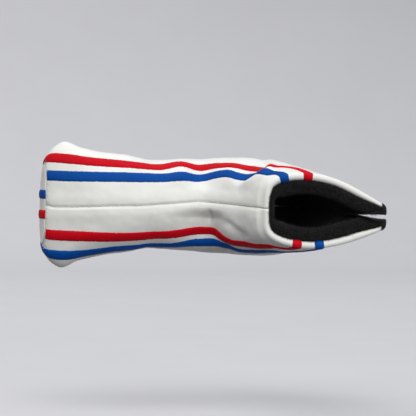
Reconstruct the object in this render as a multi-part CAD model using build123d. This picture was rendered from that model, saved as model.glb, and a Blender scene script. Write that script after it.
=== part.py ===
"""Padded head cover for a blade putter.

The cover is a boot of faux leather over foam and a plush lining. It is laid out with the toe at -X and
the heel at +X. The side with the mouth faces -Y, the sole faces +Y, and the cover lies on its lower side
panel, so Z is its thickness. The outline is drawn in the cover's middle plane, as along (from the toe end
towards the heel) and rise (from the sole towards the mouth), and the sections swing like a fan from the
toe round the instep to the mouth. Each layer is the space between two nested lofts of the same sections.
"""

import math
import os

from build123d import *

# Driving dimensions, in millimetres and degrees.
LEATHER = 1.2
FOAM = 2.6
PLUSH = 3.0
STRIPE_WIDTH = 6.0
STRIPE_PROUD = 0.6
STRIPE_ROOT = 1.0  # how deep a stripe's solid starts, before the leather is cut from it
NEAR_STRIPE = 15.3  # from the instep seam to the middle of the nearer stripe, along the surface
FAR_STRIPE = 25.8
SOLE_STRIPE = 5.25  # from the middle of the sole to the middle of each stripe
SOLE_SEAM_RISE = 10.0
TOE_SEAM_ALONG = 2.5
TOE_FLAT = (10.2, 16.8)  # the rises between which the toe end is flat
FOAM_TOE_SHIFT = 1.2  # how much further from the toe end each inner layer starts
PLUSH_TOE_SHIFT = 1.6
SLIT_GAP = 1.2
SLIT_FOOT_RISE = 12.5
SLIT_START_ALONG = 125.0
FOLD_TOP = (136.0, 84.4)
FOLD_FOOT = (152.0, 12.0)
FOLD_GAP = 0.3
BINDING_WIDTH = 6.0
HEEL_FOOT = (152.0, 12.0)
HEEL_TOP = (162.0, 94.0)
THREAD_THICKNESS = 0.4
THREAD_WIDTH = 0.6
THREAD_CLEARANCE = 0.25
TACK_CLEARANCE = 0.45
TACK_BELOW_SLIT = 1.4
STITCH_LENGTH = 1.8
STITCH_PITCH = 3.2
INSTEP_SEAM = (4.5, 71.0)  # from this far along to this rise
SOLE_SEAM = (8.0, 145.0)  # along, from the toe and to the heel
TOE_STITCHES_ALONG = 1.3
TOE_STITCHES_Q = (10, 104)  # steps round the toe end's outline
BAR_TACK = (0.7, 1.6, 5.0)  # depth, height and width
MAGNET_RADIUS = 4.0
MAGNET_THICKNESS = 1.0
POUCH_WALL = 0.2
MAGNET_CENTRE = (147.5, 76.0)

# The row frame's origin is under the middle of the cover's box.
MIDDLE_ALONG = 80.9
MIDDLE_RISE = 47.0
MIDDLE_HEIGHT = 32.95

# One section: the ends of its line on the front and on the back of the cover, its half width, where along
# the line it is widest, how blunt its front is, the half width left at its back, and how fast it gets there.
STATIONS = [
    ((0.0, 17.0), (0.0, 10.0), 17.0, 0.50, 0.6, 10.0, 1.0),
    ((3.0, 20.5), (3.0, 7.8), 25.5, 0.50, 0.8, 12.0, 1.0),
    ((6.5, 23.2), (6.5, 6.2), 30.3, 0.50, 0.9, 12.0, 1.0),
    ((12.0, 27.0), (12.0, 4.2), 32.9, 0.50, 1.0, 12.0, 1.0),
    ((20.0, 31.5), (20.0, 2.2), 31.4, 0.50, 1.0, 12.0, 1.0),
    ((32.0, 36.0), (32.0, 0.7), 28.4, 0.50, 0.95, 12.0, 1.0),
    ((45.0, 38.6), (45.0, 0.1), 25.9, 0.50, 0.9, 12.0, 1.0),
    ((58.0, 39.6), (59.0, 0.0), 23.7, 0.50, 0.9, 12.0, 1.0),
    ((70.0, 40.4), (75.0, 0.0), 24.2, 0.50, 0.9, 12.0, 1.0),
    ((80.0, 41.8), (97.0, 0.0), 25.2, 0.48, 0.9, 13.0, 1.0),
    ((86.5, 46.5), (120.0, 0.0), 25.9, 0.45, 0.9, 14.0, 1.0),
    ((91.0, 52.0), (139.0, 0.6), 26.2, 0.40, 0.85, 13.0, 1.0),
    ((95.0, 57.5), (149.5, 8.0), 26.0, 0.38, 0.8, 9.5, 1.2),
    ((98.5, 63.0), (153.2, 24.0), 25.0, 0.36, 0.75, 7.5, 1.3),
    ((102.0, 68.2), (157.2, 55.0), 22.8, 0.36, 0.7, 6.6, 1.35),
    ((105.0, 73.0), (162.0, 94.0), 20.3, 0.36, 0.62, 6.2, 1.35),
]
SECTION_COUNT = 26
FINE_COUNT = 180
POINTS_ROUND = 16
DENSE = 240
HEEL_SECTIONS = 9  # the sections whose back is pinched shut behind the cavity
PINCH_DEPTH = 10.5
PINCH_STEPS = 3
OVERRUN = 4.0  # how far the inner surfaces run past the mouth before they are trimmed
FAR = 250.0


def even_sections(guides, count):
    """Sections at even steps along the cover, on smooth curves through the guide sections."""
    rows = [[*front, *back, *shape] for front, back, *shape in guides]
    marks = [0.0]
    for last, this in zip(rows, rows[1:]):
        front_step = math.dist(last[0:2], this[0:2])
        back_step = math.dist(last[2:4], this[2:4])
        marks.append(marks[-1] + (front_step + back_step) / 2)
    spans = [b - a for a, b in zip(marks, marks[1:])]
    sections = []
    for k in range(count):
        place_along = marks[-1] * k / (count - 1)
        i = max(j for j in range(len(spans)) if marks[j] <= place_along + 1e-9)
        share = (place_along - marks[i]) / spans[i]
        values = [curve_value(rows, spans, i, share, column) for column in range(len(rows[0]))]
        sections.append((tuple(values[0:2]), tuple(values[2:4]), *values[4:]))
    return sections


def curve_value(rows, spans, i, share, column):
    """One value between guides i and i + 1, on a cubic that never overshoots its guides."""
    slopes = [(b[column] - a[column]) / span for a, b, span in zip(rows, rows[1:], spans)]

    def slope_at(j):
        if j == 0 or j == len(slopes):
            return slopes[min(j, len(slopes) - 1)]
        before, after = slopes[j - 1], slopes[j]
        if before * after <= 0:
            return 0.0
        near = 2 * spans[j] + spans[j - 1]
        far = spans[j] + 2 * spans[j - 1]
        return (near + far) / (near / before + far / after)

    start, end, span = rows[i][column], rows[i + 1][column], spans[i]
    rise = share * share * (3 - 2 * share)
    lean_start = share * (1 - share) ** 2 * span * slope_at(i)
    lean_end = -share * share * (1 - share) * span * slope_at(i + 1)
    return start + (end - start) * rise + lean_start + lean_end


def at(along, rise, height=0.0):
    """The place in the row frame of a point of the cover."""
    return Vector(along - MIDDLE_ALONG, MIDDLE_RISE - rise, height + MIDDLE_HEIGHT)


def outline(station, q):
    """Depth share and half width at q, which runs from 0 on the front to 1 on the back."""
    _, _, width, widest, front_power, end, back_power = station
    angle = math.pi * q
    if q <= 0.5:
        share = widest * (1 - math.cos(angle))
        half = width * math.sin(angle) ** front_power
    else:
        turn = min(angle - math.pi / 2, math.pi / 2)
        fall = max(math.cos(turn), 0.0)
        share = widest + (1 - widest) * math.sin(turn)
        half = end * fall**0.5 + (width - end) * fall**back_power
    return share, half


def place(station, q, side):
    """The point at q on one side (+1 above, -1 below) of a section."""
    front, back = station[0], station[1]
    share, half = outline(station, q)
    along = front[0] + (back[0] - front[0]) * share
    rise = front[1] + (back[1] - front[1]) * share
    return at(along, rise, side * half)


def inset(station, depth, back_depth, shift=0.0):
    """A section drawn inwards by depth, or outwards where depth is negative."""
    front, back, width, widest, front_power, end, back_power = station
    run = Vector(back[0] - front[0], back[1] - front[1])
    step = run.normalized()
    new_front = (front[0] + step.X * depth + shift, front[1] + step.Y * depth)
    new_back = (back[0] - step.X * back_depth + shift, back[1] - step.Y * back_depth)
    new_end = max(end - depth, 0.6)
    return (new_front, new_back, width - depth, widest, front_power, new_end, back_power)


def ring(station):
    """A section's closed outline, drawn round from just past its widest place."""
    half = POINTS_ROUND // 2
    upper = [place(station, k / half, 1) for k in range(half + 1)]
    lower = [place(station, k / half, -1) for k in range(half - 1, 0, -1)]
    points = upper + lower
    start = half // 2 + 2
    points = points[start:] + points[:start]
    marks = [k / POINTS_ROUND for k in range(POINTS_ROUND + 1)]
    return Wire([Edge.make_spline(points, periodic=True, parameters=marks)])


def mouth_normal():
    """The direction out of the mouth, square to its rim."""
    front, back = STATIONS[-1][0], STATIONS[-1][1]
    run = Vector(back[0] - front[0], back[1] - front[1]).normalized()
    return Vector(-run.Y, -run.X, 0)


def nested(depth, back_depths, first=0, shift=0.0, overrun=0.0):
    """The loft of every section from the first, drawn inwards, and past the mouth by overrun."""
    sections = []
    for station, back_depth in zip(SECTIONS[first:], back_depths[first:]):
        moved = shift if not sections else 0.0
        sections.append(ring(inset(station, depth, back_depth, moved)))
    if overrun:
        sections.append(sections[-1].moved(Location(mouth_normal() * overrun)))
    return Solid.make_loft(sections)


def block(along, rise, height):
    """A box between two values along each of the cover's directions."""
    low = at(along[0], rise[1], height[0])
    high = at(along[1], rise[0], height[1])
    size = high - low
    middle = (low + high) * 0.5
    return Pos(middle.X, middle.Y, middle.Z) * Box(size.X, size.Y, size.Z)


def heelward(top, foot, shift=0.0):
    """Everything on the heel side of a line in the middle plane, moved towards the toe by shift."""
    run = Vector(top[0] - foot[0], top[1] - foot[1]).normalized()
    across = Vector(run.Y, -run.X)
    corners = []
    for lengthwise, sideways in ((-FAR, -shift), (FAR, -shift), (FAR, FAR), (-FAR, FAR)):
        along = foot[0] + run.X * lengthwise + across.X * sideways
        rise = foot[1] + run.Y * lengthwise + across.Y * sideways
        corners.append(at(along, rise, -FAR))
    return extrude(make_face(Polyline(*corners, close=True)), amount=2 * FAR, dir=(0, 0, 1))


def under_mouth(depth):
    """Everything that lies at least depth below the mouth's plane."""
    front = at(*STATIONS[-1][0])
    plane = Plane(origin=front - mouth_normal() * depth, x_dir=(0, 0, 1), z_dir=mouth_normal())
    return plane * Box(2 * FAR, 2 * FAR, FAR, align=(Align.CENTER, Align.CENTER, Align.MAX))


def arc_table(station):
    """The distance along a section's outline from its front, at even steps of q."""
    total, last, table = 0.0, place(station, 0, 1), []
    for k in range(DENSE + 1):
        here = place(station, k / DENSE, 1)
        total += (here - last).length
        table.append(total)
        last = here
    return table


def q_at(table, distance):
    """The q at a distance along the outline."""
    for k in range(1, DENSE + 1):
        if table[k] >= distance:
            span = table[k] - table[k - 1]
            return (k - 1 + (distance - table[k - 1]) / span) / DENSE
    return 1.0


def out_of(station, q, side):
    """The direction out of a section's outline, in the section's plane."""
    step = 0.004
    ahead = place(station, min(q + step, 1), side)
    behind = place(station, max(q - step, 0), side)
    run = (ahead - behind).normalized()
    front, back = station[0], station[1]
    square = Vector(back[0] - front[0], front[1] - back[1], 0).normalized().cross(Vector(0, 0, 1))
    normal = run.cross(square).normalized()
    return normal if normal.Z * side > 0 or abs(normal.Z) < 1e-6 else normal * -1


def band_corners(station, distances, side, from_back, heights):
    """The four corners of a stripe's section."""
    table = arc_table(station)
    corners = []
    for distance, height in zip(distances, heights):
        reach = table[-1] - distance if from_back else distance
        q = q_at(table, reach)
        corners.append(place(station, q, side) + out_of(station, q, side) * height)
    return corners


def band(middle, side, from_back=False, first=0, last=None, over_rim=False):
    """A raised stripe along the cover, still with the part of it that is inside the leather."""
    near, far = middle - STRIPE_WIDTH / 2, middle + STRIPE_WIDTH / 2
    distances = (near, far, far, near)
    heights = (STRIPE_PROUD, STRIPE_PROUD, -STRIPE_ROOT, -STRIPE_ROOT)
    wires = []
    for station in SECTIONS[first:last]:
        corners = band_corners(station, distances, side, from_back, heights)
        wires.append(Wire.make_polygon(corners, close=True))
    body = Solid.make_loft(wires)
    if over_rim:
        heights = (STRIPE_PROUD, STRIPE_PROUD, -LEATHER - FOAM, -LEATHER - FOAM)
        corners = band_corners(SECTIONS[-1], distances, side, from_back, heights)
        bar = extrude(make_face(Polyline(*corners, close=True)), amount=STRIPE_PROUD, dir=mouth_normal())
        body = body + bar
    return body


def mirror_over(shape):
    """The same shape on the other side of the middle plane."""
    return mirror(shape, Plane(origin=at(0, 0), z_dir=(0, 0, 1)))


def single(shape):
    """The largest solid of a shape, without any crumbs that a cut leaves."""
    return max(shape.solids(), key=lambda s: s.volume)


def middle_of(layer, spot):
    """The middle of a layer's thickness, straight above a place in the middle plane."""
    crossing = [corner.Z for corner in (layer & Line(spot, spot + Vector(0, 0, FAR))).vertices()]
    return Vector(spot.X, spot.Y, (min(crossing) + max(crossing)) / 2)


def write(name, shape):
    """Save a node as a STEP file."""
    solids = [s for s in shape.solids() if s.volume > 0.05]
    kept = solids[0] if len(solids) == 1 else Compound(children=solids)
    export_step(kept, f"parts/{name}.step")


def on_skin(spot, normal):
    """The place on the outer skin nearest to a spot along a normal, and the skin's own normal there."""
    probe = Line(spot - normal * FOAM, spot + normal * FOAM)
    crossing = [Vector(corner.X, corner.Y, corner.Z) for corner in (shell_0 & probe).vertices()]
    found = max(crossing, key=lambda corner: (corner - spot).dot(normal))
    return found, skin.normal_at(found)


def stitches(points, normals):
    """Stitches at even steps along a seam, each lying on the leather."""
    rows, walked, wanted = [], 0.0, STITCH_PITCH / 2
    for here, ahead, normal in zip(points, points[1:], normals):
        step = ahead - here
        while walked + step.length > wanted:
            spot, outward = on_skin(here + step * ((wanted - walked) / step.length), normal)
            lift = THREAD_CLEARANCE + THREAD_THICKNESS / 2
            plane = Plane(origin=spot + outward * lift, x_dir=step, z_dir=outward)
            rows.append(plane * Box(STITCH_LENGTH, THREAD_WIDTH, THREAD_THICKNESS))
            wanted += STITCH_PITCH
        walked += step.length
    return Compound(children=rows)


def sole_seam_q(section):
    """The q at which a section's outline crosses the sole seam."""
    for k in range(DENSE):
        front, back = section[0], section[1]
        share, _ = outline(section, k / DENSE)
        if front[1] + (back[1] - front[1]) * share <= SOLE_SEAM_RISE:
            return k / DENSE
    return 1.0


def skin_normal(i, q):
    """The direction out of the outer skin at q on the upper side of a fine section."""
    ahead = place(FINE[i + 1], q, 1) - place(FINE[i - 1], q, 1)
    around = place(FINE[i], q + 1 / DENSE, 1) - place(FINE[i], q - 1 / DENSE, 1)
    return ahead.cross(around).normalized()


os.makedirs("parts", exist_ok=True)

# The layers' surfaces. Behind the flaps the cavity stops well short of the heel, where the walls are pinched.
SECTIONS = even_sections(STATIONS, SECTION_COUNT)
WALL = LEATHER + FOAM + PLUSH
lining_back = [WALL] * SECTION_COUNT
for k in range(HEEL_SECTIONS):
    lining_back[k - HEEL_SECTIONS] += (PINCH_DEPTH - WALL) * min(1.0, k / PINCH_STEPS)
shell_0 = nested(0, [0.0] * SECTION_COUNT)
skin = max(shell_0.faces(), key=lambda face: face.area)
shell_1 = nested(LEATHER, [LEATHER] * SECTION_COUNT, 0, LEATHER, OVERRUN)
shell_2 = nested(LEATHER + FOAM, [LEATHER + FOAM] * SECTION_COUNT, 1, FOAM_TOE_SHIFT, OVERRUN)
shell_3 = nested(WALL, lining_back, 2, PLUSH_TOE_SHIFT, OVERRUN)

below_turn = under_mouth(LEATHER)
below_mouth = under_mouth(0)
turned_edge = (shell_1 & below_mouth) - shell_2 - below_turn
leather = (shell_0 - shell_1) + turned_edge
foam = (shell_1 & below_turn) - shell_2
lining = (shell_2 & below_mouth) - shell_3

# Where each piece lies.
slit = block((SLIT_START_ALONG, FAR), (SLIT_FOOT_RISE, FAR), (-SLIT_GAP / 2, SLIT_GAP / 2))
above_foot = block((0, FAR), (SLIT_FOOT_RISE, FAR), (-FAR, FAR))
above_foot_root = block((0, FAR), (SLIT_FOOT_RISE - FOLD_GAP, FAR), (-FAR, FAR))
flap_zone = heelward(FOLD_TOP, FOLD_FOOT) & above_foot
root_cut = heelward(FOLD_TOP, FOLD_FOOT, FOLD_GAP) & above_foot_root
binding_zone = heelward(HEEL_TOP, HEEL_FOOT, BINDING_WIDTH)
upper_half = block((-FAR, FAR), (-FAR, FAR), (0, FAR))
sole_zone = block((-FAR, FAR), (-FAR, SOLE_SEAM_RISE), (-FAR, FAR))
toe_zone = block((-FAR, TOE_SEAM_ALONG), (-FAR, FAR), (-FAR, FAR))

# Side and sole pieces, and the flaps.
leather_sole = sole_zone + toe_zone
for layer, layer_name, sole in (
    (leather, "panel", leather_sole),
    (foam, "foam", sole_zone),
    (lining, "lining", sole_zone),
):
    upper_root = single(((layer & upper_half) - root_cut - slit) - sole)
    write(f"upper_side_{layer_name}", upper_root)
    write(f"lower_side_{layer_name}", mirror_over(upper_root))
    half_sole = ((layer & upper_half) & sole) - root_cut - slit
    write(f"sole_{layer_name}", single(half_sole + mirror_over(half_sole)))

# The magnet in each flap sits halfway through the foam, flat to the wall.
upper_flap_zone = (upper_half & flap_zone) - slit
flap_panel = single((leather & upper_flap_zone) - binding_zone)
flap_foam = single((foam & upper_flap_zone) - binding_zone)
flap_lining = single((lining & upper_flap_zone) - binding_zone)
flap_binding = single(shell_0 & below_mouth & upper_flap_zone & binding_zone)
middle = at(*MAGNET_CENTRE)
probes = [middle, middle + Vector(MAGNET_RADIUS, 0, 0), middle + Vector(0, MAGNET_RADIUS, 0)]
magnet_middle, along_wall, up_wall = [middle_of(flap_foam, probe) for probe in probes]
wall_normal = (along_wall - magnet_middle).cross(up_wall - magnet_middle)
magnet_plane = Plane(origin=magnet_middle, z_dir=wall_normal)
magnet = magnet_plane * Cylinder(MAGNET_RADIUS, MAGNET_THICKNESS)
pouch_block = magnet_plane * Cylinder(MAGNET_RADIUS + POUCH_WALL, MAGNET_THICKNESS + 2 * POUCH_WALL)
flap_parts = {
    "flap_panel": flap_panel,
    "flap_foam": flap_foam - pouch_block,
    "flap_lining": flap_lining,
    "flap_binding": flap_binding,
    "magnet": magnet,
    "magnet_pouch": pouch_block - magnet,
}
for name, shape in flap_parts.items():
    write(f"upper_{name}", shape)
    write(f"lower_{name}", mirror_over(shape))

# Embroidered stripes. Every panel has the same pair in the same order, going round the cover.
not_side = shell_0 + toe_zone + sole_zone
near_band = single(band(NEAR_STRIPE, 1, over_rim=True) - not_side)
far_band = single(band(FAR_STRIPE, 1, over_rim=True) - not_side)
write("upper_blue_stripe", near_band)
write("upper_red_stripe", far_band)
write("lower_red_stripe", mirror_over(near_band))
write("lower_blue_stripe", mirror_over(far_band))
sole_near = SOLE_STRIPE - STRIPE_WIDTH / 2
toe_patch = block((-STRIPE_PROUD, 0), TOE_FLAT, (sole_near, sole_near + STRIPE_WIDTH))
sole_band = band(SOLE_STRIPE, 1, from_back=True, last=1 - HEEL_SECTIONS) & sole_zone
sole_band = single(sole_band - shell_0)
write("sole_blue_stripe", sole_band + toe_patch)
write("sole_red_stripe", mirror_over(sole_band + toe_patch))

# Seam threads lie on the leather as separate stitches.
FINE = even_sections(STATIONS, FINE_COUNT)
inner = range(1, FINE_COUNT - 1)
instep = [i for i in inner if FINE[i][0][0] > INSTEP_SEAM[0] and FINE[i][0][1] < INSTEP_SEAM[1]]
points = [place(FINE[i], 0, 1) for i in instep]
runs = [(ahead - here).normalized() for here, ahead in zip(points, points[1:])]
write("instep_seam_thread", stitches(points, [run.cross(Vector(0, 0, 1)) for run in runs]))
along_sole = [i for i in inner if FINE[i][0][0] > SOLE_SEAM[0] and FINE[i][1][0] < SOLE_SEAM[1]]
points = [place(FINE[i], sole_seam_q(FINE[i]), 1) for i in along_sole]
upper_seam = stitches(points, [skin_normal(i, sole_seam_q(FINE[i])) for i in along_sole])
write("upper_sole_seam_thread", upper_seam)
write("lower_sole_seam_thread", mirror_over(upper_seam))
toe = min(inner, key=lambda i: abs(FINE[i][0][0] - TOE_STITCHES_ALONG))
round_toe = [k / DENSE for k in range(*TOE_STITCHES_Q)]
half_seam = stitches([place(FINE[toe], q, 1) for q in round_toe], [skin_normal(toe, q) for q in round_toe])
write("toe_seam_thread", Compound(children=[*half_seam.solids(), *mirror_over(half_seam).solids()]))
heel_section = min(FINE, key=lambda section: abs(section[1][1] - SLIT_FOOT_RISE + TACK_BELOW_SLIT))
bar_depth, bar_height, bar_width = BAR_TACK
outward = out_of(heel_section, 1, 1)
tack_middle = place(heel_section, 1, 1) + outward * (TACK_CLEARANCE + bar_depth / 2)
tack_plane = Plane(origin=tack_middle, x_dir=(0, 0, 1), z_dir=outward)
write("heel_bar_tack", tack_plane * Box(bar_width, bar_height, bar_depth))
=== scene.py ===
"""Looks of the putter head cover: leather panels, embroidery, plush, threads, studio and camera.

Lengths below are millimetres in the cover's own drawing: along runs from the toe end to the heel, rise runs
from the sole to the side with the mouth, and height from the lower side panel to the upper one, with zero in
the middle.
"""

import math

import bpy
import numpy as np
from mathutils import Matrix, Vector, noise


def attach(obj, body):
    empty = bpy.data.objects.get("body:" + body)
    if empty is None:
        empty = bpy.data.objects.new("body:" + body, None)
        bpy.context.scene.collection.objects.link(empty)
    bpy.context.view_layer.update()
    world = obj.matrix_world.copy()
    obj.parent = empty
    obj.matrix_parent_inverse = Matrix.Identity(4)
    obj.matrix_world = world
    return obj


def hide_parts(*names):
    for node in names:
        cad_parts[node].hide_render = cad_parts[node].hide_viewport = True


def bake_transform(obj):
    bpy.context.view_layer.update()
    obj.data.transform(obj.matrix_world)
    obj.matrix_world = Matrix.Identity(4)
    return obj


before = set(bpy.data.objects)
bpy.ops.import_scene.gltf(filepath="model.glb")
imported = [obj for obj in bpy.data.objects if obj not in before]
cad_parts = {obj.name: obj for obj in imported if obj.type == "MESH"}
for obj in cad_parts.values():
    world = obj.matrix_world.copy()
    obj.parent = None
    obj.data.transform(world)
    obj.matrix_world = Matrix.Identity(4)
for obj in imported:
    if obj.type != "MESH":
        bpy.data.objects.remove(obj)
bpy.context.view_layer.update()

MM = 0.001
MIDDLE_ALONG, MIDDLE_RISE, MIDDLE_HEIGHT = 80.9, 47.0, 32.95
RNG = np.random.default_rng(7)

# Guide sections, one in each row: the front end and the back end (along, rise), the half width, the share of
# the depth where it is widest, the front half's power, the half width at the back, and the back half's power.
GUIDES = np.array([
    (0.0, 17.0, 0.0, 10.0, 17.0, 0.50, 0.60, 10.0, 1.00),
    (3.0, 20.5, 3.0, 7.8, 25.5, 0.50, 0.80, 12.0, 1.00),
    (6.5, 23.2, 6.5, 6.2, 30.3, 0.50, 0.90, 12.0, 1.00),
    (12.0, 27.0, 12.0, 4.2, 32.9, 0.50, 1.00, 12.0, 1.00),
    (20.0, 31.5, 20.0, 2.2, 29.9, 0.50, 1.00, 12.0, 1.00),
    (32.0, 36.0, 32.0, 0.7, 27.4, 0.50, 0.95, 12.0, 1.00),
    (45.0, 38.6, 45.0, 0.1, 25.8, 0.50, 0.90, 12.0, 1.00),
    (58.0, 39.6, 59.0, 0.0, 23.5, 0.50, 0.90, 12.0, 1.00),
    (70.0, 40.4, 75.0, 0.0, 24.2, 0.50, 0.90, 12.0, 1.00),
    (80.0, 41.8, 97.0, 0.0, 25.2, 0.48, 0.90, 13.0, 1.00),
    (86.5, 46.5, 120.0, 0.0, 25.9, 0.45, 0.90, 14.0, 1.00),
    (91.0, 52.0, 139.0, 0.6, 26.2, 0.40, 0.85, 13.0, 1.00),
    (95.0, 57.5, 149.5, 8.0, 26.0, 0.38, 0.80, 9.5, 1.20),
    (97.3, 62.2, 153.2, 24.0, 25.0, 0.36, 0.72, 7.5, 1.30),
    (99.6, 67.0, 157.2, 55.0, 22.6, 0.36, 0.58, 7.4, 1.70),
    (101.8, 71.8, 162.0, 94.0, 19.9, 0.36, 0.44, 8.8, 2.80),
])
SOLE_SEAM_RISE = 10.0
TOE_SEAM_ALONG = 1.3
CAP_FLAT = 14.0  # half the height of the toe end's flat middle
SLIT_FOOT_RISE = 12.5
LEATHER, WALL = 1.2, 6.8  # depths below the skin of the leather's inner face and of the plush's
RIM_RADIUS = 2.1
RIM_EASE = (0.2, 0.4, 0.6, 0.8)  # steps from the last section to the rolled rim
RIM_TUCK = (1.0, 2.2)  # how deep the turned edge goes in under the rim
COLLAR_RADIUS = 3.2
HEEL_SHORT = 0.4  # how far short of the heel line the collar ends
INSTEP_LAP = 0.6  # how far each half of the lining laps over the other along the instep
SLIT_DEPTH = 12.0  # how far in the edge binding lines the slit
MAGNET_SINK = 2.2  # how much deeper than their CAD solids the magnets lie
SHEET = {"leather": 1.0, "plush": 0.8, "binding": 0.5, "stripe": 0.3}  # thicknesses of the visible sheets
VIEW_TURN = math.radians(22)  # how far the camera's view is turned from the rise, nearly square to the mouth
SEEN_START = 5.2  # where the toe end stands along that view


def smooth(x, low, high):
    """0 below low, 1 above high, with a smooth step between."""
    x = np.clip((x - low) / (high - low), 0, 1)
    return x * x * (3 - 2 * x)


def hump(x, middle, width):
    """A bell of height 1."""
    return np.exp(-(((x - middle) / width) ** 2))


def monotone(marks, rows, at):
    """Rows at new marks, on cubics that never overshoot the given rows."""
    spans = np.diff(marks)[:, None]
    slopes = np.diff(rows, axis=0) / spans
    before, after = slopes[:-1], slopes[1:]
    near, far = 2 * spans[1:] + spans[:-1], spans[1:] + 2 * spans[:-1]
    same = before * after > 0
    safe_before, safe_after = np.where(same, before, 1), np.where(same, after, 1)
    middle = np.where(same, (near + far) / (near / safe_before + far / safe_after), 0)
    lean = np.vstack([slopes[:1], middle, slopes[-1:]])
    i = np.clip(np.searchsorted(marks, at, side="right") - 1, 0, len(spans) - 1)
    x = ((at - marks[i]) / spans[i, 0])[:, None]
    span = spans[i]
    return (
        rows[i]
        + (rows[i + 1] - rows[i]) * x * x * (3 - 2 * x)
        + lean[i] * x * (1 - x) ** 2 * span
        - lean[i + 1] * x * x * (1 - x) * span
    )


STEPS = np.hypot(*np.diff(GUIDES[:, 0:2], axis=0).T) + np.hypot(*np.diff(GUIDES[:, 2:4], axis=0).T)
MARKS = np.concatenate([[0], np.cumsum(STEPS)]) / STEPS.sum()
Q_FINE = np.linspace(0, 1, 401)


class Section:
    """One cross-section of the cover at share t of its length."""

    def __init__(self, t):
        values = monotone(MARKS, GUIDES, np.array([t]))[0]
        self.front, self.back = values[0:2], values[2:4]
        self.width, self.widest, self.front_power, self.end, self.back_power = values[4:]
        self.end_power = 0.5 - 0.22 * smooth(t, 0.85, 1.0)  # the tips of the flaps are blunt
        run = self.back - self.front
        self.depth = np.hypot(*run)
        self.run = run / self.depth
        points = self.points(Q_FINE)
        lengths = np.linalg.norm(np.diff(points, axis=0), axis=1)
        self.arcs = np.concatenate([[0], np.cumsum(lengths)])
        self.total = self.arcs[-1]
        rises = points[:, 1]
        below = np.nonzero(rises <= SOLE_SEAM_RISE)[0]
        self.seam = self.arcs[below[0]] if len(below) else self.total

    def points(self, q, inset=0.0, back_inset=None):
        """Points of the upper half of the outline, q from 0 at the front to 1 at the back."""
        back_inset = inset if back_inset is None else back_inset
        width, end = self.width - inset, max(self.end - inset, 0.4)
        turn = np.clip(np.pi * q - np.pi / 2, 0, np.pi / 2)
        angle = np.pi * np.minimum(q, 0.5)
        fall = np.maximum(np.cos(turn), 0)
        share = np.where(q <= 0.5, self.widest * (1 - np.cos(angle)),
                         self.widest + (1 - self.widest) * np.sin(turn))
        half = np.where(q <= 0.5, width * np.sin(angle) ** self.front_power,
                        end * fall**self.end_power + (width - end) * fall**self.back_power)
        distance = inset + (self.depth - inset - back_inset) * share
        return np.stack([self.front[0] + self.run[0] * distance,
                         self.front[1] + self.run[1] * distance, half], axis=1)

    def at(self, arc, inset=0.0, back_inset=None):
        """Points at signed distances from the instep line: plus above, minus below."""
        q = np.interp(np.abs(arc), self.arcs, Q_FINE)
        points = self.points(q, inset, back_inset)
        points[:, 2] *= np.where(arc < 0, -1, 1)
        return points


def seen(points):
    """How far along the cover a place is, seen square to the mouth."""
    return points[..., 0] * math.cos(VIEW_TURN) + points[..., 1] * math.sin(VIEW_TURN) - SEEN_START


def to_world(points):
    """The row frame's place of each point. The soft cover bows up in the middle and sags at the flaps."""
    points = np.asarray(points, float)
    along, rise, height = np.moveaxis(points, -1, 0)
    reach = seen(points)
    bow = 1.3 * smooth(reach, 5, 45) - 1.0 * smooth(reach, 120, 160) - 1.5 * smooth(reach, 150, 180)
    return np.stack([along - MIDDLE_ALONG, MIDDLE_RISE - rise, height + bow + MIDDLE_HEIGHT], axis=-1) * MM


def grid_normals(points):
    """Unit normals of a grid. They point into the cover on its upper side and out of it on its lower side."""
    down = np.gradient(points, axis=0)
    across = np.gradient(points, axis=1)
    normals = np.cross(down, across)
    size = np.linalg.norm(normals, axis=2, keepdims=True)
    return normals / np.maximum(size, 1e-9)


MOUTH = Section(1.0)
MOUTH_OUT = np.array([-MOUTH.run[1], MOUTH.run[0], 0.0])  # out of the mouth, square to the rim


# ---------------------------------------------------------------- leather surface


def seam_wander(t):
    """How far the instep seam drifts sideways along the cover."""
    front = monotone(MARKS, GUIDES[:, 0:2], t)
    reach = front[:, 0] * math.cos(VIEW_TURN) + front[:, 1] * math.sin(VIEW_TURN)
    return np.interp(reach, [5, 12, 35, 56, 72, 88, 106, 120], [0.3, -1.3, -1.3, -0.8, 0.6, 2.3, 1.2, 0.0])


T_START = float(np.interp(TOE_SEAM_ALONG, GUIDES[:, 0], MARKS))
ROWS, COLUMNS = 300, 110
row_t = np.linspace(T_START, 1, ROWS)
sections = [Section(t) for t in row_t]
wander = seam_wander(row_t)
depth_below_mouth = np.array([(MOUTH.front - s.front) @ MOUTH_OUT[:2] for s in sections])
last_row = int(np.nonzero(depth_below_mouth >= RIM_RADIUS + 0.3)[0][-1])


def rim_radius(arc, total):
    """The rolled rim gets thinner towards the tips of the flaps."""
    return RIM_RADIUS * (1 - 0.62 * smooth(np.abs(arc), total - 24, total - 1))


def ring_normals(points, side):
    """Directions out of the ring round the mouth, in the mouth's own plane."""
    along = np.gradient(points, axis=0)
    out = np.cross(along, MOUTH_OUT) * side
    return out / np.linalg.norm(out, axis=1, keepdims=True)


def side_columns(count):
    """Column shares, closer together near the instep seam."""
    x = np.linspace(0, 1, count)
    return x * 0.8 + 0.2 * x * x


def binding_width(section):
    """How much of the skin beside the slit is covered by its black edge, most at the tip."""
    rise = section.back[1]
    return 2.2 * smooth(rise, SLIT_FOOT_RISE - 6, SLIT_FOOT_RISE + 8) + 4.4 * smooth(rise, 45, 92)


def end_of_side(section):
    """Where a side panel ends: on the sole seam, or short of the heel where the slit's binding starts."""
    return min(section.seam, section.total - binding_width(section))


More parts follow.
